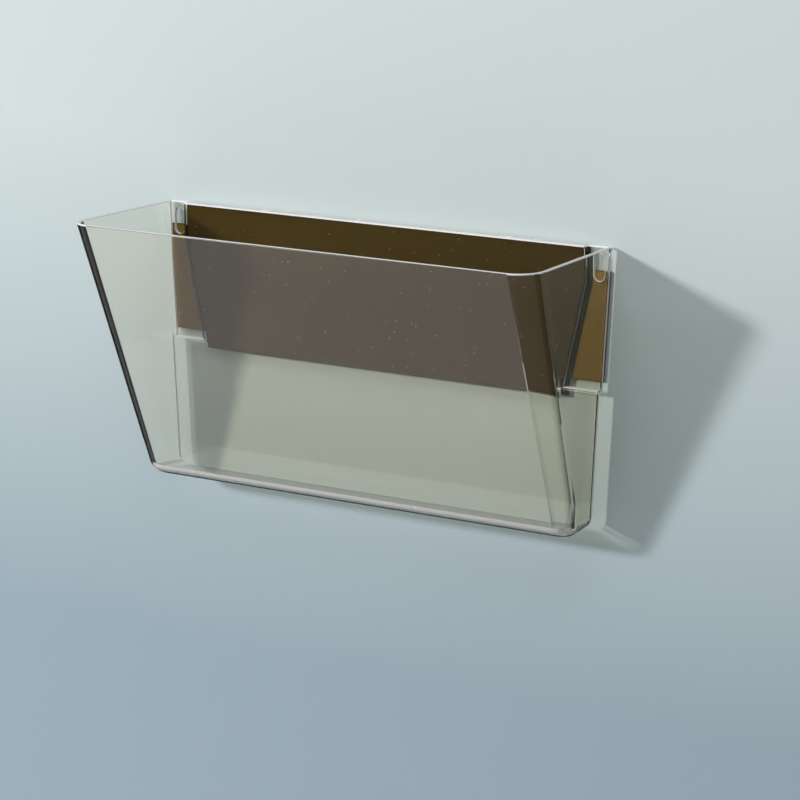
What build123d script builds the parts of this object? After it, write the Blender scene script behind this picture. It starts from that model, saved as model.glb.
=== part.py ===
from build123d import *
import math
import os

# Magnetic wall file holder: a clear moulded pocket with a raised back panel between two set-back ears,
# held to a steel face by a large magnet sheet behind the panel and a magnet strip behind each ear.
# Millimetres. X runs across the holder, +Y into the wall, +Z up.
# The origin is the middle of the large magnet's face, on the plane that meets the steel.

# Pocket, outside, with widths measured to the sharp corners
HEIGHT = 171.0
RIM_WIDTH_FRONT = 335.0
RIM_WIDTH_BACK = 324.0
BASE_WIDTH_FRONT = 316.5
BASE_WIDTH_BACK = 303.5
RIM_DEPTH = 102.0
BASE_DEPTH = 37.5
RIM_DROP = 2.3
WALL = 2.2
RIM_CORNER_RADIUS = 17.5
BASE_CORNER_RADIUS = 13.0
BASE_EDGE_RADIUS = 10.0
RIM_ROUND = 0.9

# Back panel, raised from the ears, and its step
PANEL_THICKNESS = 2.0
PANEL_RAISE = 4.0
STEP_WALL = 2.0
EAR_WIDTH_TOP = 15.0
EAR_WIDTH_LEDGE = 24.8
STEP_UPRIGHT = 21.0
LEDGE_DROP = 86.0
STEP_ROUND = 0.8

# Hanging slots in the ears
SLOT_WIDTH = 7.5
SLOT_LENGTH = 17.0
SLOT_FROM_EDGE = 8.0
SLOT_DROP = 12.5

# Magnets and what sticks them on
MAGNET_THICKNESS = 1.6
FILM_THICKNESS = 0.2
SHEET_TOP_MARGIN = 0.6
SHEET_HEIGHT = 91.4
STRIP_TOP_DROP = 15.0
STRIP_BOTTOM_DROP = 81.5
STRIP_EDGE_MARGIN = 0.3
SEAM_GAP = 0.8
FILM_MARGIN = 0.5
PAD_CLEARANCE = 0.2
PAD_SHORTER = 1.0

# Places that follow from the sizes
RIM_Z = SHEET_TOP_MARGIN + SHEET_HEIGHT / 2
BASE_Z = RIM_Z - HEIGHT
LEDGE_Z = RIM_Z - LEDGE_DROP
EAR_BACK = -(MAGNET_THICKNESS + FILM_THICKNESS)
EAR_FRONT = EAR_BACK - PANEL_THICKNESS
PANEL_BACK = EAR_BACK - PANEL_RAISE
PANEL_FRONT = PANEL_BACK - PANEL_THICKNESS
LEAN = math.atan((RIM_DEPTH - BASE_DEPTH) / HEIGHT)
FAR = RIM_WIDTH_FRONT
TOUCHING = 0.01


def between(base_value, rim_value, z):
    """A size that changes evenly from the base to the rim, at height z."""
    return base_value + (rim_value - base_value) * (z - BASE_Z) / HEIGHT


def section(z, inset, back):
    """Outline of the pocket at height z, taken in by inset, with its back edge at y = back."""
    front_half = between(BASE_WIDTH_FRONT, RIM_WIDTH_FRONT, z) / 2
    back_half = between(BASE_WIDTH_BACK, RIM_WIDTH_BACK, z) / 2
    depth = between(BASE_DEPTH, RIM_DEPTH, z)
    flare = (front_half - back_half) / (depth + EAR_BACK)
    front = -depth + inset / math.cos(LEAN)
    half_at_front = back_half + flare * (EAR_BACK - front) - inset
    half_at_back = back_half + flare * (EAR_BACK - back) - inset
    radius = between(BASE_CORNER_RADIUS, RIM_CORNER_RADIUS, z) - inset
    with BuildSketch(Plane.XY.offset(z)) as outline:
        with BuildLine():
            Polyline(
                (-half_at_back, back),
                (-half_at_front, front),
                (half_at_front, front),
                (half_at_back, back),
                close=True,
            )
        make_face()
        fillet(outline.vertices().group_by(Axis.Y)[0], radius)
    return outline.sketch


def pocket_form(inset, back):
    """The pocket's solid form, taken in by inset all round and rounded along its base."""
    bottom = BASE_Z + inset
    top = RIM_Z + inset
    form = loft([section(bottom, inset, back), section(top, inset, back)], ruled=True)
    base_edges = form.edges().group_by(Axis.Z)[0]
    base_edges = base_edges.filter_by(lambda edge: edge.center().Y < back - TOUCHING)
    return form.fillet(BASE_EDGE_RADIUS - inset, base_edges)


def front_view(points, y_near, y_far):
    """A plate with the given outline of (x, z) points, from depth y_near back to y_far."""
    with BuildPart() as plate:
        with BuildSketch(Plane.XZ.offset(-y_far)):
            with BuildLine():
                Polyline(*points, close=True)
            make_face()
        extrude(amount=y_far - y_near)
    return plate.part


def edge_half_width(z):
    """Half width of the pocket's back edge at height z."""
    return between(BASE_WIDTH_BACK, RIM_WIDTH_BACK, z) / 2


def step_half_width(z):
    """Half width of the raised panel at height z: upright at the top, then drawn in to the ledge."""
    knee_z = RIM_Z - STEP_UPRIGHT
    at_top = edge_half_width(RIM_Z) - EAR_WIDTH_TOP
    at_ledge = edge_half_width(LEDGE_Z) - EAR_WIDTH_LEDGE
    if z >= knee_z:
        return at_top
    return at_top + (at_ledge - at_top) * (knee_z - z) / (knee_z - LEDGE_Z)


def beside_step(inset, top, bottom):
    """Right-hand points, from top to bottom, that follow the step at a distance inside it."""
    knee_z = RIM_Z - STEP_UPRIGHT
    heights = [top, knee_z, bottom]
    return [(step_half_width(z) - inset, z) for z in heights]


def mirrored(points):
    """The points followed by their mirror images, in the order that closes the outline."""
    return points + [(-x, z) for x, z in reversed(points)]


def raised_panel():
    """The block whose face is the raised panel and, below the ledge, the whole lower panel."""
    upper = beside_step(0, RIM_Z + WALL, LEDGE_Z)
    lower = [(FAR, LEDGE_Z), (FAR, BASE_Z - WALL)]
    block = front_view(mirrored(upper + lower), PANEL_FRONT, 0)
    return block.fillet(STEP_ROUND, block.edges().group_by(Axis.Y)[0])


def rear_recess():
    """The space behind the raised panel and the whole lower panel."""
    upper = beside_step(STEP_WALL, RIM_Z - STEP_WALL, LEDGE_Z - STEP_WALL)
    lower = [(FAR, LEDGE_Z - STEP_WALL), (FAR, BASE_Z - WALL)]
    return front_view(mirrored(upper + lower), PANEL_BACK, -EAR_BACK)


def slot_cutter(side):
    """A long upright hole through one ear."""
    slot_z = RIM_Z - SLOT_DROP
    slot_x = side * (edge_half_width(slot_z) - SLOT_FROM_EDGE)
    with BuildPart() as cutter:
        with BuildSketch(Plane.XZ.offset(-EAR_BACK)):
            with Locations((slot_x, slot_z)):
                SlotOverall(SLOT_LENGTH, SLOT_WIDTH, rotation=90)
        extrude(amount=PANEL_THICKNESS * 4, both=True)
    return cutter.part


def rim_height(y):
    """Height of the rim at depth y: it drops a little from the back edge to the front wall."""
    return RIM_Z + RIM_DROP * (y - EAR_BACK) / (RIM_DEPTH + EAR_BACK)


def rim_cutter():
    """Everything above the rim."""
    with BuildPart() as cutter:
        with BuildSketch(Plane.YZ):
            with BuildLine():
                Polyline(
                    (FAR, rim_height(FAR)),
                    (-FAR, rim_height(-FAR)),
                    (-FAR, RIM_Z + HEIGHT),
                    (FAR, RIM_Z + HEIGHT),
                    close=True,
                )
            make_face()
        extrude(amount=FAR, both=True)
    return cutter.part


def on_rim(edge):
    """True for an edge that lies in the plane of the rim."""
    places = [edge.position_at(share) for share in (0, 0.5, 1)]
    return all(abs(place.Z - rim_height(place.Y)) < TOUCHING for place in places)


def pocket_shell():
    """The one-piece clear pocket."""
    hollow = pocket_form(WALL, EAR_FRONT) - raised_panel()
    shell = pocket_form(0, EAR_BACK) - hollow - rear_recess() - rim_cutter()
    shell = shell.solid()
    shell = shell.fillet(RIM_ROUND, shell.edges().filter_by(on_rim))
    for side in (-1, 1):
        shell -= slot_cutter(side)
    return shell


def magnet_sheet():
    """The large magnet, cut to the outline of the raised panel."""
    top = RIM_Z - SHEET_TOP_MARGIN
    points = beside_step(0, top, LEDGE_Z)
    points.append((points[-1][0], top - SHEET_HEIGHT))
    return front_view(mirrored(points), -MAGNET_THICKNESS, 0)


def mounting_pad():
    """The foam pad that fills the recess between the raised panel and the large magnet."""
    top = RIM_Z - STEP_WALL - PAD_CLEARANCE
    bottom = RIM_Z - SHEET_TOP_MARGIN - SHEET_HEIGHT + PAD_SHORTER
    points = beside_step(STEP_WALL + PAD_CLEARANCE, top, LEDGE_Z - STEP_WALL)
    points.append((points[-1][0], bottom))
    return front_view(mirrored(points), PANEL_BACK, -MAGNET_THICKNESS)


def ear_plate(side, margin, y_near, y_far):
    """A plate behind one ear, from the seam beside the large magnet out to the pocket's edge."""
    top = RIM_Z - STRIP_TOP_DROP - margin
    bottom = RIM_Z - STRIP_BOTTOM_DROP + margin
    inner = beside_step(-SEAM_GAP - margin, top, bottom)
    reach = STRIP_EDGE_MARGIN + margin
    outer = [(edge_half_width(z) - reach, z) for z in (bottom, top)]
    points = [(side * x, z) for x, z in inner + outer]
    return front_view(points, y_near, y_far)


def magnet_strip(side):
    """The narrow magnet behind one ear."""
    return ear_plate(side, 0, -MAGNET_THICKNESS, 0)


def adhesive_film(side):
    """The double-sided film between one ear and its magnet strip."""
    return ear_plate(side, FILM_MARGIN, EAR_BACK, -MAGNET_THICKNESS)


def save(name, solid):
    """Write one piece to its own file."""
    export_step(solid, "parts/" + name + ".step")


os.makedirs("parts", exist_ok=True)
save("pocket_shell", pocket_shell())
save("magnet_sheet", magnet_sheet())
save("mounting_pad", mounting_pad())
for side, word in ((-1, "left"), (1, "right")):
    save("magnet_strip_" + word, magnet_strip(side))
    save("adhesive_film_" + word, adhesive_film(side))
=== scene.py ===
import math

import bmesh
import bpy
from mathutils import Euler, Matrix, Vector


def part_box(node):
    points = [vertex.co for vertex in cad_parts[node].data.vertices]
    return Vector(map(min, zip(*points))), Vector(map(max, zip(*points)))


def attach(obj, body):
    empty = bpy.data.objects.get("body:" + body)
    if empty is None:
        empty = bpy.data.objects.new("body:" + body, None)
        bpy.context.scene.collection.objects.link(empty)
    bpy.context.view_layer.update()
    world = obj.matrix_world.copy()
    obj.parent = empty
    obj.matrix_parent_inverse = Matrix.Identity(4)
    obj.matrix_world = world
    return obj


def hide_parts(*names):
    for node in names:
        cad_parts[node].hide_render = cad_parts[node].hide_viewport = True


# Magnetic wall file holder: clear moulded pocket, flexible magnets, foam pad and adhesive films.
# Metres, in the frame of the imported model: X across, +Y into the wall, +Z up, magnets' face at y = 0.

MM = 0.001

# Pocket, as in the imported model, with widths measured to the sharp corners
HEIGHT = 171 * MM
RIM_WIDTH_FRONT = 335 * MM
RIM_WIDTH_BACK = 324 * MM
BASE_WIDTH_FRONT = 316.5 * MM
BASE_WIDTH_BACK = 303.5 * MM
RIM_DEPTH = 102 * MM
BASE_DEPTH = 37.5 * MM
RIM_DROP = 2.3 * MM
WALL = 2.2 * MM
RIM_CORNER_RADIUS = 17.5 * MM
BASE_CORNER_RADIUS = 13 * MM
BASE_EDGE_RADIUS = 10 * MM
RIM_ROUND = 0.9 * MM
RIM_Z = 46.3 * MM
BASE_Z = RIM_Z - HEIGHT
LEAN = math.atan((RIM_DEPTH - BASE_DEPTH) / HEIGHT)

# Back panel: the ears, the raised panel, its step and the hanging slots
EAR_BACK = -1.8 * MM
EAR_FRONT = -3.8 * MM
PANEL_BACK = -5.8 * MM
PANEL_FRONT = -7.8 * MM
EAR_WIDTH_TOP = 15 * MM
EAR_WIDTH_LEDGE = 24.8 * MM
STEP_WALL = 2 * MM
STEP_UPRIGHT = 21 * MM
STEP_ROUND = 0.8 * MM
LEDGE_Z = RIM_Z - 86 * MM
SLOT_WIDTH = 7.5 * MM
SLOT_LENGTH = 17 * MM
SLOT_FROM_EDGE = 8 * MM
SLOT_Z = RIM_Z - 12.5 * MM
SLOT_ROUND = 0.3 * MM

# Foam pad
PAD_CLEARANCE = 0.2 * MM
PAD_ROUND = 0.3 * MM

# How finely the curved stretches are cut up
CORNER_STEPS = 24
BASE_ROUND_STEPS = 8
SMALL_ROUND_STEPS = 4
TINY_ROUND_STEPS = 2
SIDE_CUTS = 7
HEIGHT_STEPS = 10

# The leaning walls leave less than a quarter circle to the base round, so it is drawn smaller
BASE_ROUND_SHARE = 0.85

# What counts as the same place, and as a sharp edge
TOUCHING = 0.01 * MM
MERGE_WITHIN = 3 * TOUCHING
SHARP_ANGLE = math.radians(32)

# Which way a face points, told by how long its normal is along one axis
RIM_UPWARD = 0.02
LEDGE_UPWARD = 0.3
BASE_GLEAM_UPWARD = (0.55, 0.85)
SLOT_FORWARD = 0.95
STEP_SIDEWAYS = 0.25
CORNER_SIDEWAYS = 0.07
CORNER_FORWARD = 0.2
CORNER_UPWARD = 0.42
FLAT_SIDEWAYS = 0.9
FLAT_FORWARD = 0.98

# How far a flat face outweighs the rounds beside it when the shading is smoothed, of 100
FLAT_FACE_WEIGHT = 100

# The pocket's finishes, numbered in the order of its materials; one is a painted glint for its narrow
# edges
FRONT_FINISH, PAINTED_GLINT_FINISH, CORNER_PAINTED_DARK_FINISH, PANEL_FINISH, SIDE_FINISH = range(5)

# Camera
VIEW_PAN = math.radians(33.69)
VIEW_TILT = math.radians(12.28)
VIEW_DISTANCE = 2.0566
VIEW_TARGET = Vector((13.4 * MM, EAR_BACK, RIM_Z - 109.4 * MM))
VIEW_NEAREST = 0.05
LENS_MM = 150.72

# Stage
WALL_Y = 0.4 * MM
WALL_HALF_WIDTH = 3.0
WALL_TOP = 2.6
FLOOR_Z = -0.46
FLOOR_DEPTH = 1.0
# The wall's colour darkens from its lit top to its lower part: painted shade for the light falling off
# down the wall
WALL_COLOR_LIT_TOP = (0.615, 0.69, 0.675, 1)
WALL_COLOR_PAINTED_SHADE = (0.318, 0.405, 0.456, 1)
PAINTED_SHADE_FROM_Z = 0.09
PAINTED_SHADE_TO_Z = -0.24
FLOOR_COLOR = (0.63, 0.61, 0.64, 1)
STAGE_ROUGHNESS = 0.6
STAGE_SPECULAR = 0.25

# Lights, each aimed at the pocket
KEY_FROM = Vector((-0.93, -1.0, 0.39))
KEY_DISTANCE = 4.0
KEY_SIZE = (0.36, 0.36)
KEY_WATTS = 136
FILL_FROM = Vector((0.1, -0.6, 1.0))
FILL_DISTANCE = 1.5
FILL_SIZE = (1.0, 1.0)
FILL_WATTS = 5
STRIP_FROM = Vector((0.45, -0.62, 1.0))
STRIP_DISTANCE = 1.6
STRIP_SIZE = (1.4, 0.06)
STRIP_WATTS = 4
REAR_FROM = Vector((-0.5, 1.0, 0.55))
REAR_DISTANCE = 1.5
REAR_SIZE = (1.0, 1.0)
REAR_WATTS = 16
WORLD_COLOR = (0.62, 0.64, 0.66, 1)
WORLD_IN_GLOSS = (0.10, 0.095, 0.09, 1)
WORLD_STRENGTH = 0.14

# Clear plastic: how it bends and passes light, and over which turn away from the eye it goes to painted
# shade, dark as a grazing look through it
CLEAR_IOR = 1.5
CLEAR_TO_DARK = (0.55, 1.1)
# Corners and the step's side turn to painted shade sooner, for the dark pocket that they mirror
CORNER_IOR = 1.28
CORNER_CLEAR_TO_DARK = (0.18, 0.38)
# The narrow edges' plastic, whiter and less clear: a painted glint
EDGE_IOR = 1.55
EDGE_TRANSMISSION = 0.15

# Clear plastic: its tints, and what it lets through in the shadow that it casts
CLEAR_TINT = (0.985, 0.97, 0.91, 1)
# Near black edge on: painted shade for the dark that a grazing look through the plastic mirrors and bends
# in
EDGE_ON_PAINTED_DARK = (0.012, 0.010, 0.006, 1)
# Painted glint colours for the narrow edges
GLINT_PAINTED_GREY = (0.90, 0.89, 0.91, 1)
GLINT_PAINTED_WHITE = (1.0, 1.0, 1.0, 1)
FRONT_SHADOW = (0.94, 0.925, 0.86, 1)
SIDE_SHADOW = (0.49, 0.51, 0.49, 1)
PANEL_SHADOW = (0.98, 0.98, 0.96, 1)
EDGE_ON_SHADOW = (0.30, 0.33, 0.32, 1)

# Magnets, foam and film
MAGNET_DARK = (0.078, 0.048, 0.007, 1)
MAGNET_PALE = (0.108, 0.069, 0.012, 1)
MAGNET_FLECK = (0.20, 0.15, 0.08, 1)
FOAM_DARK = (0.048, 0.030, 0.005, 1)
FOAM_PALE = (0.072, 0.046, 0.008, 1)
FOAM_CELL = (0.02, 0.014, 0.006, 1)
FOAM_ROUGHNESS = 0.75
FILM_DARK = (0.19, 0.115, 0.015, 1)
FILM_PALE = (0.245, 0.155, 0.023, 1)
FILM_FLECK = (0.50, 0.40, 0.22, 1)
FILM_ROUGHNESS = 0.45


def deselect_all():
    """Leave nothing selected."""
    if bpy.context.mode != "OBJECT":
        bpy.ops.object.mode_set(mode="OBJECT")
    bpy.ops.object.select_all(action="DESELECT")


def pick(piece):
    """Select one piece and nothing else, and make it the active one."""
    deselect_all()
    piece.select_set(True)
    bpy.context.view_layer.objects.active = piece


def edit_only(piece, wanted, kind="VERT"):
    """Enter edit mode with only the wanted vertices or edges of a piece selected."""
    pick(piece)
    bpy.ops.object.mode_set(mode="EDIT")
    bpy.ops.mesh.select_mode(type=kind)
    bpy.ops.mesh.select_all(action="DESELECT")
    bpy.ops.object.mode_set(mode="OBJECT")
    for element in (piece.data.vertices if kind == "VERT" else piece.data.edges):
        element.select = wanted(element)
    bpy.ops.object.mode_set(mode="EDIT")


def edit_all(piece, kind="VERT"):
    """Enter edit mode with the whole of a piece selected."""
    pick(piece)
    bpy.ops.object.mode_set(mode="EDIT")
    bpy.ops.mesh.select_mode(type=kind)
    bpy.ops.mesh.select_all(action="SELECT")


def leave_edit():
    """Back to object mode."""
    bpy.ops.object.mode_set(mode="OBJECT")


def edge_ends(piece, edge):
    """The two end points of an edge."""
    return [piece.data.vertices[index].co for index in edge.vertices]


def cut_away(piece, tool):
    """Take the tool's form out of a piece, and throw the tool away."""
    modifier = piece.modifiers.new("cut", "BOOLEAN")
    modifier.operation = "DIFFERENCE"
    modifier.solver = "EXACT"
    modifier.object = tool
    pick(piece)
    bpy.ops.object.modifier_apply(modifier=modifier.name)
    bpy.data.objects.remove(tool)


def shade_smooth(piece):
    """Shade a piece smooth, except over its sharp edges."""
    pick(piece)
    bpy.ops.object.shade_smooth_by_angle(angle=SHARP_ANGLE)


def between(base_value, rim_value, z):
    """A size that changes evenly from the base to the rim, at height z."""
    return base_value + (rim_value - base_value) * (z - BASE_Z) / HEIGHT


def outline_loop(z, inset, back):
    """A loop of edges with the pocket's outline at height z, its two front corners rounded."""
    front_half = between(BASE_WIDTH_FRONT, RIM_WIDTH_FRONT, z) / 2
    back_half = between(BASE_WIDTH_BACK, RIM_WIDTH_BACK, z) / 2
    depth = between(BASE_DEPTH, RIM_DEPTH, z)
    flare = (front_half - back_half) / (depth + EAR_BACK)
    front = -depth + inset / math.cos(LEAN)
    half_at_front = back_half + flare * (EAR_BACK - front) - inset
    half_at_back = back_half + flare * (EAR_BACK - back) - inset
    radius = between(BASE_CORNER_RADIUS, RIM_CORNER_RADIUS, z) - inset
    deselect_all()
    bpy.ops.mesh.primitive_plane_add(size=2)
    loop = bpy.context.object
    for vertex in loop.data.vertices:
        side = math.copysign(1, vertex.co.x)
        if vertex.co.y < 0:
            vertex.co = (side * half_at_front, front, z)
        else:
            vertex.co = (side * half_at_back, back, z)
    edit_only(loop, lambda vertex: vertex.co.y < front + TOUCHING)
    bpy.ops.mesh.bevel(offset=radius, segments=CORNER_STEPS, affect="VERTICES")
    leave_edit()
    edit_all(loop)
    bpy.ops.mesh.delete(type="ONLY_FACE")
    leave_edit()

    def along_side(edge):
        ends = edge_ends(loop, edge)
        return abs(ends[0].y - ends[1].y) > 2 * radius

    edit_only(loop, along_side, "EDGE")
    bpy.ops.mesh.subdivide(number_cuts=SIDE_CUTS)
    leave_edit()
    return loop


def at_height(height):
    """A test for points at the given height."""
    return lambda vertex: abs(vertex.co.z - height) < TOUCHING


def skin_up(form, low, loop, high):
    """Join a loop at the high height to a form, and skin the wall up to it from the low height."""
    pick(form)
    loop.select_set(True)
    bpy.ops.object.join()
    edit_only(form, lambda vertex: at_height(low)(vertex) or at_height(high)(vertex))
    bpy.ops.mesh.bridge_edge_loops()
    leave_edit()


def wall_levels(inset):
    """Heights up the wall, each with how far its outline is taken in there: base round, then wall."""
    bottom = BASE_Z + inset
    top = RIM_Z + WALL
    radius = BASE_ROUND_SHARE * (BASE_EDGE_RADIUS - inset)
    levels = []
    for step in range(BASE_ROUND_STEPS + 1):
        angle = math.pi / 2 * step / BASE_ROUND_STEPS
        height = bottom + radius * (1 - math.cos(angle))
        levels.append((height, inset + radius * (1 - math.sin(angle))))
    for step in range(1, HEIGHT_STEPS + 1):
        height = bottom + radius + (top - bottom - radius) * step / HEIGHT_STEPS
        levels.append((height, inset))
    return levels


def pocket_form(inset, back):
    """The pocket's solid form, taken in by inset all round and rounded along its base."""
    levels = wall_levels(inset)
    height, taken_in = levels[0]
    form = outline_loop(height, taken_in, back)
    for above, taken_in in levels[1:]:
        skin_up(form, height, outline_loop(above, taken_in, back), above)
        height = above
    for end, _ in (levels[0], levels[-1]):
        edit_only(form, at_height(end))
        bpy.ops.mesh.edge_face_add()
        leave_edit()
    edit_all(form)
    bpy.ops.mesh.normals_make_consistent(inside=False)
    leave_edit()
    return form


def plate(name, points, y_near, y_far):
    """A plate with the given outline of (x, z) points, from depth y_near back to y_far."""
    deselect_all()
    bpy.ops.mesh.primitive_circle_add(vertices=len(points), radius=1, fill_type="NGON")
    piece = bpy.context.object
    piece.name = name
    for vertex, (x, z) in zip(piece.data.vertices, points):
        vertex.co = (x, y_far, z)
    edit_all(piece)
    bpy.ops.mesh.extrude_region_move(TRANSFORM_OT_translate={"value": (0, y_near - y_far, 0)})
    bpy.ops.mesh.select_all(action="SELECT")
    bpy.ops.mesh.normals_make_consistent(inside=False)
    leave_edit()
    return piece


def edge_half_width(z):
    """Half width of the pocket's back edge at height z."""
    return between(BASE_WIDTH_BACK, RIM_WIDTH_BACK, z) / 2


def step_half_width(z):
    """Half width of the raised panel at height z: upright at the top, then drawn in to the ledge."""
    knee_z = RIM_Z - STEP_UPRIGHT
    at_top = edge_half_width(RIM_Z) - EAR_WIDTH_TOP
    at_ledge = edge_half_width(LEDGE_Z) - EAR_WIDTH_LEDGE
    if z >= knee_z:
        return at_top
    return at_top + (at_ledge - at_top) * (knee_z - z) / (knee_z - LEDGE_Z)


def beside_step(inset, top, bottom):
    """Right-hand points, from top to bottom, that follow the step at a distance inside it."""
    heights = [top, RIM_Z - STEP_UPRIGHT, bottom]
    return [(step_half_width(z) - inset, z) for z in heights]


def mirrored(points):
    """The points followed by their mirror images, in the order that closes the outline."""
    return points + [(-x, z) for x, z in reversed(points)]


def raised_panel():
    """The block whose face is the raised panel and, below the ledge, the whole lower panel."""
    points = beside_step(0, RIM_Z + 2 * WALL, LEDGE_Z)
    points += [(RIM_WIDTH_FRONT, LEDGE_Z), (RIM_WIDTH_FRONT, BASE_Z - WALL)]
    block = plate("raised_panel", mirrored(points), PANEL_FRONT, 0)

    def on_face(edge):
        return all(end.y < PANEL_FRONT + TOUCHING for end in edge_ends(block, edge))

    edit_only(block, on_face, "EDGE")
    bpy.ops.mesh.bevel(offset=STEP_ROUND, segments=SMALL_ROUND_STEPS, affect="EDGES")
    leave_edit()
    return block


def rear_recess():
    """The space behind the raised panel and the whole lower panel."""
    points = beside_step(STEP_WALL, RIM_Z - STEP_WALL, LEDGE_Z - STEP_WALL)
    points += [(RIM_WIDTH_FRONT, LEDGE_Z - STEP_WALL), (RIM_WIDTH_FRONT, BASE_Z - WALL)]
    return plate("rear_recess", mirrored(points), PANEL_BACK, WALL)


def slot_middle():
    """How far the middle of each hanging slot is from the middle of the pocket."""
    return edge_half_width(SLOT_Z) - SLOT_FROM_EDGE


def slot_cutter(side):
    """A long upright hole through one ear."""
    radius = SLOT_WIDTH / 2
    straight = SLOT_LENGTH / 2 - radius
    points = []
    for end in (1, -1):
        for step in range(CORNER_STEPS + 1):
            angle = math.pi * step / CORNER_STEPS + (0 if end > 0 else math.pi)
            x = side * slot_middle() + radius * math.cos(angle)
            points.append((x, SLOT_Z + end * straight + radius * math.sin(angle)))
    return plate("slot_cutter", points, PANEL_FRONT, WALL)


def rim_height(y):
    """Height of the rim at depth y: it drops a little from the back edge to the front wall."""
    return RIM_Z + RIM_DROP * (y - EAR_BACK) / (RIM_DEPTH + EAR_BACK)


def rim_cutter():
    """Everything above the rim."""
    deselect_all()
    bpy.ops.mesh.primitive_cube_add(size=2)
    cutter = bpy.context.object
    for vertex in cutter.data.vertices:
        x = math.copysign(RIM_WIDTH_FRONT, vertex.co.x)
        y = math.copysign(RIM_WIDTH_FRONT, vertex.co.y)
        z = rim_height(y) if vertex.co.z < 0 else RIM_Z + HEIGHT
        vertex.co = (x, y, z)
    return cutter


def sharp_edges(piece):
    """The indices of the edges where two faces meet at a sharp angle."""
    form = bmesh.new()
    form.from_mesh(piece.data)
    found = {edge.index for edge in form.edges if edge.calc_face_angle(0) > SHARP_ANGLE}
    form.free()
    return found


def round_edges(piece, wanted, radius, steps):
    """Round the sharp edges whose two ends are both wanted."""
    sharp = sharp_edges(piece)

    def chosen(edge):
        return edge.index in sharp and all(wanted(end) for end in edge_ends(piece, edge))

    edit_only(piece, chosen, "EDGE")
    bpy.ops.mesh.bevel(
        offset=radius,
        segments=steps,
        affect="EDGES",
        clamp_overlap=False,
        loop_slide=False,
    )
    leave_edit()


def split_many_sided(piece):
    """Cut the flat faces with many sides, such as the rim's, into triangles that lie inside them."""
    edit_all(piece, "FACE")
    bpy.ops.mesh.select_all(action="DESELECT")
    bpy.ops.mesh.select_face_by_sides(number=4, type="GREATER")
    bpy.ops.mesh.quads_convert_to_tris(ngon_method="BEAUTY")
    leave_edit()


def split_at_depth(piece, y):
    """Draw a line round a piece at depth y, so that the edge behind it can take the painted glint."""
    edit_all(piece)
    bpy.ops.mesh.bisect(plane_co=(0, y, 0), plane_no=(0, 1, 0))
    leave_edit()


def on_rim(point):
    """True for a point in the plane of the rim."""
    return abs(point.z - rim_height(point.y)) < TOUCHING


def near_slot(point, margin):
    """True for a point that a view from the front shows in a hanging slot or within a margin of it."""
    beside = abs(abs(point.x) - slot_middle()) < SLOT_WIDTH / 2 + margin
    level = abs(point.z - SLOT_Z) < SLOT_LENGTH / 2 + margin
    return beside and level


def on_slot_lip(point):
    """True for a point on the front edge of a hanging slot."""
    return near_slot(point, TOUCHING) and abs(point.y - EAR_FRONT) < TOUCHING


def clear_pocket():
    """The one-piece clear pocket, with its raised panel, ears, slots and rounded rim."""
    hollow = pocket_form(WALL, EAR_FRONT)
    cut_away(hollow, raised_panel())
    pocket = pocket_form(0, EAR_BACK)
    pocket.name = "clear_pocket"
    cut_away(pocket, hollow)
    cut_away(pocket, rear_recess())
    cut_away(pocket, rim_cutter())
    for side in (-1, 1):
        cut_away(pocket, slot_cutter(side))
    edit_all(pocket)
    bpy.ops.mesh.remove_doubles(threshold=MERGE_WITHIN)
    leave_edit()
    split_many_sided(pocket)
    round_edges(pocket, on_rim, RIM_ROUND, SMALL_ROUND_STEPS)
    round_edges(pocket, on_slot_lip, SLOT_ROUND, TINY_ROUND_STEPS)
    for depth in (EAR_FRONT, PANEL_FRONT):
        split_at_depth(pocket, depth)
    shade_smooth(pocket)
    return pocket


def foam_pad():
    """The foam pad in the recess behind the raised panel, with its cut edges slightly rounded."""
    low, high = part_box("mounting_pad")
    points = beside_step(STEP_WALL + PAD_CLEARANCE, high[2], LEDGE_Z - STEP_WALL)
    points.append((points[-1][0], low[2]))
    pad = plate("foam_pad", mirrored(points), low[1], high[1])
    edit_all(pad, "EDGE")
    bpy.ops.mesh.bevel(offset=PAD_ROUND, segments=TINY_ROUND_STEPS, affect="EDGES")
    leave_edit()
    shade_smooth(pad)
    return pad


def hold_in_box(piece, node):
    """Bring back any point that a round pushed past the node's box."""
    low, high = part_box(node)
    for vertex in piece.data.vertices:
        for axis in range(3):
            vertex.co[axis] = min(max(vertex.co[axis], low[axis]), high[axis])


def weigh_normals(piece):
    """Keep flat faces flat where they run into a round."""
    modifier = piece.modifiers.new("flat_faces", "WEIGHTED_NORMAL")
    modifier.keep_sharp = True
    modifier.weight = FLAT_FACE_WEIGHT
    pick(piece)
    bpy.ops.object.modifier_apply(modifier=modifier.name)


# The next five tests pick the faces that take the painted glint
def on_rim_round(center, normal):
    """True for a face of the rim or of the raised panel's top."""
    return center.z > rim_height(center.y) - RIM_ROUND and abs(normal.z) > RIM_UPWARD


def on_ledge(center, normal):
    """True for a face on the top or the underside of the ledge."""
    level = LEDGE_Z - STEP_WALL - STEP_ROUND < center.z < LEDGE_Z + TOUCHING
    return level and abs(normal.z) > LEDGE_UPWARD and center.y > PANEL_FRONT - TOUCHING


def on_slot_edge(center, normal):
    """True for a face of a hanging slot's wall or of its rounded lip."""
    turned = abs(normal.y) < SLOT_FORWARD
    return near_slot(center, 2 * SLOT_ROUND) and turned and center.y > EAR_FRONT - TOUCHING


def on_plate_edge(center, normal):
    """True for the outer edge of an ear, or of the lower panel under the ledge."""
    front = EAR_FRONT if center.z > LEDGE_Z else PANEL_FRONT
    outside = abs(center.x) > edge_half_width(center.z) - TOUCHING
    return outside and abs(normal.x) > FLAT_SIDEWAYS and center.y > front - TOUCHING


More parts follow.
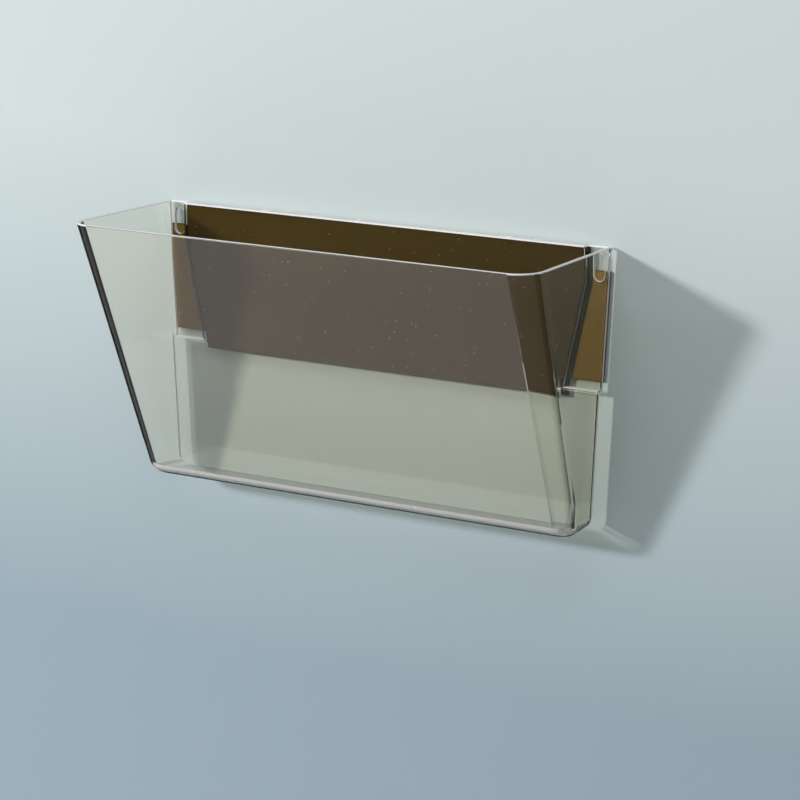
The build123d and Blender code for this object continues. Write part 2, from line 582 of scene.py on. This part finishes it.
def on_inner_base_round(center, normal):
    """True for the middle of the round between the walls and the floor, on the inside."""
    low = center.z < BASE_Z + BASE_EDGE_RADIUS
    least, most = BASE_GLEAM_UPWARD
    return low and least < normal.z < most and center.y < PANEL_FRONT


def on_step_side(center, normal):
    """True for the side of the raised panel's step, with its rounded front edge."""
    inside = abs(center.x) < edge_half_width(center.z) - 2 * WALL
    between_plates = PANEL_FRONT < center.y < EAR_BACK
    above_ledge = center.z > LEDGE_Z - STEP_WALL
    return inside and between_plates and above_ledge and abs(normal.x) > STEP_SIDEWAYS


def in_corner(center, normal):
    """True for a face of one of the two rounded front corners, outside or inside."""
    turned = abs(normal.x) > CORNER_SIDEWAYS and abs(normal.y) > CORNER_FORWARD
    return turned and abs(normal.z) < CORNER_UPWARD and center.y < PANEL_FRONT - WALL


def on_panel(center, normal):
    """True for a face of the raised panel, the lower panel or an ear, in front or behind."""
    return abs(normal.y) > FLAT_FORWARD and center.y > PANEL_FRONT - TOUCHING


def on_side_wall(center, normal):
    """True for a face of a side wall, outside or inside."""
    outside = abs(center.x) > edge_half_width(center.z) - 2 * WALL
    return abs(normal.x) > FLAT_SIDEWAYS and outside


def finish_of(polygon):
    """The number of the finish that a face of the pocket takes."""
    place = (polygon.center, polygon.normal)
    # These faces take the painted glint
    painted_glint_tests = (on_rim_round, on_ledge, on_slot_edge, on_plate_edge, on_inner_base_round)
    if any(test(*place) for test in painted_glint_tests):
        return PAINTED_GLINT_FINISH
    # Corners and the step's side take the plastic with stronger painted shade edge on
    if in_corner(*place) or on_step_side(*place):
        return CORNER_PAINTED_DARK_FINISH
    if on_panel(*place):
        return PANEL_FINISH
    return SIDE_FINISH if on_side_wall(*place) else FRONT_FINISH


def new_material(name):
    """An empty node material, its nodes and its shader."""
    material = bpy.data.materials.new(name)
    material.use_nodes = True
    tree = material.node_tree
    return material, tree, tree.nodes["Principled BSDF"]


def object_coordinates(tree, scale=(1, 1, 1)):
    """Object coordinates, scaled by one number along each axis."""
    coordinates = tree.nodes.new("ShaderNodeTexCoord")
    mapping = tree.nodes.new("ShaderNodeMapping")
    mapping.inputs["Scale"].default_value = scale
    tree.links.new(coordinates.outputs["Object"], mapping.inputs["Vector"])
    return mapping.outputs["Vector"]


def noise(tree, vector, scale, detail=2.0, roughness=0.5):
    """A noise texture's value."""
    node = tree.nodes.new("ShaderNodeTexNoise")
    node.inputs["Scale"].default_value = scale
    node.inputs["Detail"].default_value = detail
    node.inputs["Roughness"].default_value = roughness
    tree.links.new(vector, node.inputs["Vector"])
    return node.outputs["Fac"]


def spread(tree, value, source, target=(0.0, 1.0)):
    """A value moved from the source range to the target range, and clamped there."""
    node = tree.nodes.new("ShaderNodeMapRange")
    node.inputs["From Min"].default_value = source[0]
    node.inputs["From Max"].default_value = source[1]
    node.inputs["To Min"].default_value = target[0]
    node.inputs["To Max"].default_value = target[1]
    tree.links.new(value, node.inputs["Value"])
    return node.outputs["Result"]


def between_colors(tree, value, first, second):
    """A colour between two, by a value."""
    node = tree.nodes.new("ShaderNodeMix")
    node.data_type = "RGBA"
    node.inputs["A"].default_value = first
    node.inputs["B"].default_value = second
    tree.links.new(value, node.inputs["Factor"])
    return node.outputs["Result"]


def mix_shaders(tree, value, first, second):
    """Send a mix of two shaders, by a value, to the material's surface."""
    mixed = tree.nodes.new("ShaderNodeMixShader")
    tree.links.new(value, mixed.inputs["Fac"])
    tree.links.new(first.outputs["BSDF"], mixed.inputs[1])
    tree.links.new(second.outputs["BSDF"], mixed.inputs[2])
    tree.links.new(mixed.outputs["Shader"], tree.nodes["Material Output"].inputs["Surface"])


def bump(tree, shader, height, strength, distance):
    """Raise the surface by a height."""
    node = tree.nodes.new("ShaderNodeBump")
    node.inputs["Strength"].default_value = strength
    node.inputs["Distance"].default_value = distance
    tree.links.new(height, node.inputs["Height"])
    tree.links.new(node.outputs["Normal"], shader.inputs["Normal"])


def make_speck_group():
    """A shared effect: a mask that is 1 on small scattered specks and 0 between them."""
    group = bpy.data.node_groups.new("fine_specks", "ShaderNodeTree")
    group.interface.new_socket("Vector", in_out="INPUT", socket_type="NodeSocketVector")
    group.interface.new_socket("Scale", in_out="INPUT", socket_type="NodeSocketFloat")
    group.interface.new_socket("Size", in_out="INPUT", socket_type="NodeSocketFloat")
    group.interface.new_socket("Mask", in_out="OUTPUT", socket_type="NodeSocketFloat")
    entry = group.nodes.new("NodeGroupInput")
    leaving = group.nodes.new("NodeGroupOutput")
    cells = group.nodes.new("ShaderNodeTexVoronoi")
    group.links.new(entry.outputs["Vector"], cells.inputs["Vector"])
    group.links.new(entry.outputs["Scale"], cells.inputs["Scale"])
    below = group.nodes.new("ShaderNodeMath")
    below.operation = "LESS_THAN"
    group.links.new(cells.outputs["Distance"], below.inputs[0])
    group.links.new(entry.outputs["Size"], below.inputs[1])
    group.links.new(below.outputs["Value"], leaving.inputs["Mask"])
    return group


def specks(tree, vector, scale, size):
    """The shared specks, placed in a material."""
    node = tree.nodes.new("ShaderNodeGroup")
    node.node_tree = speck_group
    node.inputs["Scale"].default_value = scale
    node.inputs["Size"].default_value = size
    tree.links.new(vector, node.inputs["Vector"])
    return node.outputs["Mask"]


def flecked(tree, vector, base, fleck, scale, size):
    """A base colour with small flecks of another."""
    node = tree.nodes.new("ShaderNodeMix")
    node.data_type = "RGBA"
    tree.links.new(specks(tree, vector, scale, size), node.inputs["Factor"])
    tree.links.new(base, node.inputs["A"])
    node.inputs["B"].default_value = fleck
    return node.outputs["Result"]


def turned_away(tree):
    """How far the surface turns away from the eye, from 0 face on to 1 edge on."""
    weight = tree.nodes.new("ShaderNodeLayerWeight")
    weight.inputs["Blend"].default_value = 0.5
    return weight.outputs["Facing"]


def light_through(tree, shader, face_on, edge_on):
    """Let light through to cast a tinted shadow, clearer face on than edge on."""
    steep = spread(tree, turned_away(tree), source=(0.5, 1.0))
    clear = tree.nodes.new("ShaderNodeBsdfTransparent")
    tree.links.new(between_colors(tree, steep, face_on, edge_on), clear.inputs["Color"])
    path = tree.nodes.new("ShaderNodeLightPath")
    mix_shaders(tree, path.outputs["Is Shadow Ray"], shader, clear)


def clear_plastic(name, ior, clear_to_dark, shadow):
    """Clear polystyrene: a faint moulding ripple, dust specks, and painted shade where it is seen edge
    on, for the dark that a grazing look through it mirrors and bends in.
    """
    material, tree, shader = new_material(name)
    shader.inputs["Transmission Weight"].default_value = 1.0
    shader.inputs["IOR"].default_value = ior
    # Painted shade: the colour goes near black as the surface turns edge on
    edge_on = spread(tree, turned_away(tree), source=clear_to_dark)
    tint_and_painted_dark = between_colors(tree, edge_on, CLEAR_TINT, EDGE_ON_PAINTED_DARK)
    tree.links.new(tint_and_painted_dark, shader.inputs["Base Color"])
    vector = object_coordinates(tree)
    ripple = noise(tree, vector, scale=28, detail=1.0)
    bump(tree, shader, ripple, strength=0.04, distance=0.4 * MM)
    dust = specks(tree, vector, scale=150, size=0.04)
    dull = spread(tree, dust, source=(0.0, 1.0), target=(0.012, 0.55))
    tree.links.new(dull, shader.inputs["Roughness"])
    light_through(tree, shader, shadow, EDGE_ON_SHADOW)
    return material


def painted_glint_edge():
    """The same plastic with a painted glint where a narrow edge would catch the light: whiter and less
    clear.
    """
    material, tree, shader = new_material("polystyrene_painted_glint_edge")
    shader.inputs["Transmission Weight"].default_value = EDGE_TRANSMISSION
    shader.inputs["IOR"].default_value = EDGE_IOR
    cloud = noise(tree, object_coordinates(tree), scale=90)
    tree.links.new(between_colors(tree, cloud, GLINT_PAINTED_GREY, GLINT_PAINTED_WHITE), shader.inputs["Base Color"])
    dull = spread(tree, cloud, source=(0.3, 0.7), target=(0.10, 0.28))
    tree.links.new(dull, shader.inputs["Roughness"])
    light_through(tree, shader, SIDE_SHADOW, EDGE_ON_SHADOW)
    return material


def pocket_materials():
    """The pocket's materials, in the order of the numbers of its finishes."""
    return [
        clear_plastic("clear_polystyrene", CLEAR_IOR, CLEAR_TO_DARK, FRONT_SHADOW),
        painted_glint_edge(),
        clear_plastic("polystyrene_corner_painted_dark", CORNER_IOR, CORNER_CLEAR_TO_DARK, FRONT_SHADOW),
        clear_plastic("polystyrene_panel", CLEAR_IOR, CLEAR_TO_DARK, PANEL_SHADOW),
        clear_plastic("polystyrene_side", CLEAR_IOR, CLEAR_TO_DARK, SIDE_SHADOW),
    ]


def flexible_magnet():
    """Dark brown ferrite-filled rubber with fine upright grain and a few pale flecks."""
    material, tree, shader = new_material("flexible_magnet_rubber")
    vector = object_coordinates(tree)
    cloud = noise(tree, vector, scale=30, detail=4.0, roughness=0.6)
    color = between_colors(tree, cloud, MAGNET_DARK, MAGNET_PALE)
    color = flecked(tree, vector, color, MAGNET_FLECK, scale=200, size=0.06)
    tree.links.new(color, shader.inputs["Base Color"])
    grain = noise(tree, object_coordinates(tree, scale=(1, 1, 0.12)), scale=900)
    dull = spread(tree, grain, source=(0.3, 0.7), target=(0.5, 0.7))
    tree.links.new(dull, shader.inputs["Roughness"])
    bump(tree, shader, grain, strength=0.25, distance=0.1 * MM)
    return material


def dark_foam():
    """Closed-cell foam: open cut cells on its sides and faces."""
    material, tree, shader = new_material("dark_closed_cell_foam")
    vector = object_coordinates(tree)
    cells = noise(tree, vector, scale=1400)
    color = between_colors(tree, cells, FOAM_DARK, FOAM_PALE)
    color = flecked(tree, vector, color, FOAM_CELL, scale=700, size=0.22)
    tree.links.new(color, shader.inputs["Base Color"])
    shader.inputs["Roughness"].default_value = FOAM_ROUGHNESS
    bump(tree, shader, cells, strength=0.3, distance=0.15 * MM)
    return material


def adhesive_film():
    """Thin brown double-sided film with small trapped bubbles."""
    material, tree, shader = new_material("double_sided_film")
    vector = object_coordinates(tree)
    cloud = noise(tree, vector, scale=160, detail=4.0, roughness=0.6)
    color = between_colors(tree, cloud, FILM_DARK, FILM_PALE)
    color = flecked(tree, vector, color, FILM_FLECK, scale=300, size=0.07)
    tree.links.new(color, shader.inputs["Base Color"])
    shader.inputs["Roughness"].default_value = FILM_ROUGHNESS
    bump(tree, shader, cloud, strength=0.1, distance=0.1 * MM)
    return material


def stage_paint(name, high, low):
    """Matte paint with painted shade: its colour goes from the high one at the top to the low one below,
    for the light falling off down the wall; seen from its front only, so views from behind pass it.
    """
    material, tree, shader = new_material(name)
    place = tree.nodes.new("ShaderNodeSeparateXYZ")
    tree.links.new(object_coordinates(tree), place.inputs["Vector"])
    # Painted shade: darker towards the bottom of the wall
    painted_shade = spread(tree, place.outputs["Z"], source=(PAINTED_SHADE_TO_Z, PAINTED_SHADE_FROM_Z))
    tree.links.new(between_colors(tree, painted_shade, low, high), shader.inputs["Base Color"])
    shader.inputs["Roughness"].default_value = STAGE_ROUGHNESS
    shader.inputs["Specular IOR Level"].default_value = STAGE_SPECULAR
    geometry = tree.nodes.new("ShaderNodeNewGeometry")
    clear = tree.nodes.new("ShaderNodeBsdfTransparent")
    mix_shaders(tree, geometry.outputs["Backfacing"], shader, clear)
    return material


def stage_sheet(name, corners, material):
    """A flat sheet of the stage through four corners."""
    mesh = bpy.data.meshes.new(name)
    mesh.from_pydata(corners, [], [(0, 1, 2, 3)])
    mesh.materials.append(material)
    sheet = bpy.data.objects.new(name, mesh)
    bpy.context.scene.collection.objects.link(sheet)
    return sheet


def make_stage():
    """A pale wall that the magnets hold on to, and a pale floor well below."""
    half = WALL_HALF_WIDTH
    wall = stage_sheet("backdrop", [
        (-half, WALL_Y, FLOOR_Z),
        (half, WALL_Y, FLOOR_Z),
        (half, WALL_Y, WALL_TOP),
        (-half, WALL_Y, WALL_TOP),
    ], stage_paint("pale_wall", WALL_COLOR_LIT_TOP, WALL_COLOR_PAINTED_SHADE))
    wall.visible_shadow = False
    wall.visible_glossy = False
    stage_sheet("floor", [
        (-half, WALL_Y - FLOOR_DEPTH, FLOOR_Z),
        (half, WALL_Y - FLOOR_DEPTH, FLOOR_Z),
        (half, WALL_Y, FLOOR_Z),
        (-half, WALL_Y, FLOOR_Z),
    ], stage_paint("pale_floor", FLOOR_COLOR, FLOOR_COLOR))


def add_lamp(name, direction, distance, size, watts):
    """A soft lamp of the given width and height, aimed at the pocket, which the plastic doesn't focus."""
    lamp = bpy.data.lights.new(name, "AREA")
    lamp.shape = "RECTANGLE"
    lamp.size = size[0]
    lamp.size_y = size[1]
    lamp.energy = watts
    holder = bpy.data.objects.new(name, lamp)
    bpy.context.scene.collection.objects.link(holder)
    holder.location = direction.normalized() * distance
    holder.rotation_euler = direction.to_track_quat("Z", "Y").to_euler()
    holder.visible_transmission = False
    return holder


def make_lights():
    """Key light from the upper left, a fill, a strip for gleams, a rear lamp and an even surround."""
    key = add_lamp("key_lamp", KEY_FROM, KEY_DISTANCE, KEY_SIZE, KEY_WATTS)
    key.visible_glossy = False
    add_lamp("fill_lamp", FILL_FROM, FILL_DISTANCE, FILL_SIZE, FILL_WATTS)
    add_lamp("strip_lamp", STRIP_FROM, STRIP_DISTANCE, STRIP_SIZE, STRIP_WATTS)
    rear = add_lamp("rear_lamp", REAR_FROM, REAR_DISTANCE, REAR_SIZE, REAR_WATTS)
    rear.visible_glossy = False
    world = bpy.data.worlds.new("surround")
    bpy.context.scene.world = world
    world.use_nodes = True
    tree = world.node_tree
    path = tree.nodes.new("ShaderNodeLightPath")
    background = tree.nodes["Background"]
    color = between_colors(tree, path.outputs["Is Glossy Ray"], WORLD_COLOR, WORLD_IN_GLOSS)
    tree.links.new(color, background.inputs["Color"])
    background.inputs["Strength"].default_value = WORLD_STRENGTH


def make_camera():
    """The photograph's viewing angle."""
    camera = bpy.data.cameras.new("view")
    camera.lens = LENS_MM
    camera.clip_start = VIEW_NEAREST
    holder = bpy.data.objects.new("view", camera)
    bpy.context.scene.collection.objects.link(holder)
    holder.rotation_euler = Euler((math.pi / 2 - VIEW_TILT, 0, VIEW_PAN))
    back_off = holder.rotation_euler.to_matrix() @ Vector((0, 0, VIEW_DISTANCE))
    holder.location = VIEW_TARGET + back_off
    bpy.context.scene.camera = holder


def dress(node, material):
    """Give a CAD node its finish."""
    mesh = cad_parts[node].data
    mesh.materials.clear()
    mesh.materials.append(material)


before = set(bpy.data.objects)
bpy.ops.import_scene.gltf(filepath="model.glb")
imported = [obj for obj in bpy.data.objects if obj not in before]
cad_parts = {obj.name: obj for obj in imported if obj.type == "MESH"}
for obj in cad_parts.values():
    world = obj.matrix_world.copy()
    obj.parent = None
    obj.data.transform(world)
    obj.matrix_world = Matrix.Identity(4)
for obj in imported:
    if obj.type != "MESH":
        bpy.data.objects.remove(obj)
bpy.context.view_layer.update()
deselect_all()
bpy.context.scene.view_settings.view_transform = "Standard"

make_camera()
make_stage()
make_lights()

speck_group = make_speck_group()
magnet = flexible_magnet()
film = adhesive_film()

pocket = clear_pocket()
hold_in_box(pocket, "pocket_shell")
weigh_normals(pocket)
pocket.data.materials.clear()
for material in pocket_materials():
    pocket.data.materials.append(material)
for polygon in pocket.data.polygons:
    polygon.material_index = finish_of(polygon)
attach(pocket, "root")
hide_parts("pocket_shell")

pad = foam_pad()
pad.data.materials.append(dark_foam())
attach(pad, "root")
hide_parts("mounting_pad")

dress("magnet_sheet", magnet)
for word in ("left", "right"):
    dress("magnet_strip_" + word, magnet)
    dress("adhesive_film_" + word, film)
